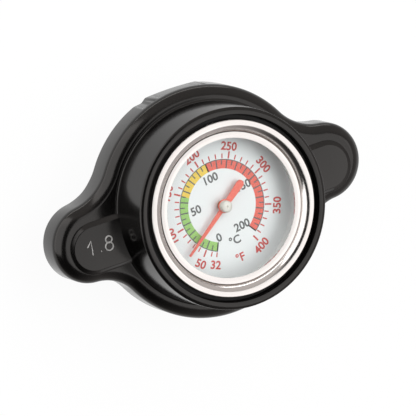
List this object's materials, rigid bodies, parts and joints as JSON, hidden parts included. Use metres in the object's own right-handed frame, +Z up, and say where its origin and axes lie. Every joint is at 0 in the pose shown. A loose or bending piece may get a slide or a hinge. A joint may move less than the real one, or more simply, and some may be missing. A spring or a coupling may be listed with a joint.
{
  "type": "radiator cap gauge",
  "caption": "Two-eared black radiator cap with a built-in dial thermometer under a bright bezel, and a spring-loaded pressure and vacuum valve below.",
  "frame": {"origin": "on the cap's axis at the underside of the pressure seal, the lowest point", "axes": "+Z up the cap's axis, out of the dial; +X along the ears, towards the plain ear; +Y towards the top of the dial"},
  "size_m": [0.0742, 0.0506, 0.0311],
  "materials": {
    "cap_paint": "satin black enamel on a casting",
    "bezel_steel": "polished stainless steel",
    "glass": "clear flat glass",
    "dial_paint": "satin silver-white dial with printed bands and numbers",
    "pointer_paint": "matt salmon red",
    "hub_metal": "pale turned button",
    "black_rubber": "matt black rubber",
    "stainless": "pressed stainless steel",
    "screw_steel": "zinc plated steel",
    "spring_steel": "drawn spring wire",
    "spacer_metal": "turned aluminium",
    "brass": "turned and pressed brass",
    "bimetal": "rolled two-metal strip"
  },
  "bodies": {
    "cap": {"cap_body": "cap_paint", "bayonet_shell": "stainless", "shell_screws": "screw_steel", "gauge_case": "stainless", "bezel_ring": "bezel_steel", "gauge_seal_ring": "black_rubber", "lens": "glass", "lens_gasket": "black_rubber", "lens_spacer": "spacer_metal", "dial_plate": "dial_paint", "dial_spacer": "spacer_metal", "sensor_stem": "brass", "stem_o_ring": "black_rubber", "upper_bush": "brass", "lower_bush": "brass", "bimetal_coil": "bimetal", "coil_anchor": "stainless"},
    "pointer_set": {"spindle": "stainless", "pointer": "pointer_paint", "pointer_hub": "hub_metal"},
    "valve_carrier": {"centre_rivet": "brass", "spring_washer": "stainless", "seal_disc": "stainless", "neck_gasket": "black_rubber", "valve_guide": "brass", "pressure_spring": "spring_steel"},
    "pressure_valve": {"pressure_plate": "brass", "pressure_seal": "black_rubber", "vacuum_spring": "spring_steel"},
    "vacuum_valve": {"vacuum_valve": "brass", "vacuum_clip": "stainless"}
  },
  "joints": [
    {"name": "pointer_turn", "type": "hinge", "parent": "cap", "child": "pointer_set", "pos_m": [0, 0, 0.0264], "axis": [0, 0, -1], "range_deg": [-31.5, 268.5], "stiffness_Nm_per_rad": 0.00002},
    {"name": "valve_swivel", "type": "hinge", "parent": "cap", "child": "valve_carrier", "pos_m": [0, 0, 0.0168], "axis": [0, 0, 1], "continuous": true},
    {"name": "pressure_lift", "type": "slide", "parent": "valve_carrier", "child": "pressure_valve", "axis": [0, 0, 1], "range_m": [0, 0.004], "stiffness_N_per_m": 500, "springref_m": -0.003, "deforming": ["pressure_spring"]},
    {"name": "vacuum_drop", "type": "slide", "parent": "pressure_valve", "child": "vacuum_valve", "axis": [0, 0, -1], "range_m": [0, 0.001], "stiffness_N_per_m": 100, "springref_m": -0.0005, "deforming": ["vacuum_spring"]}
  ]
}
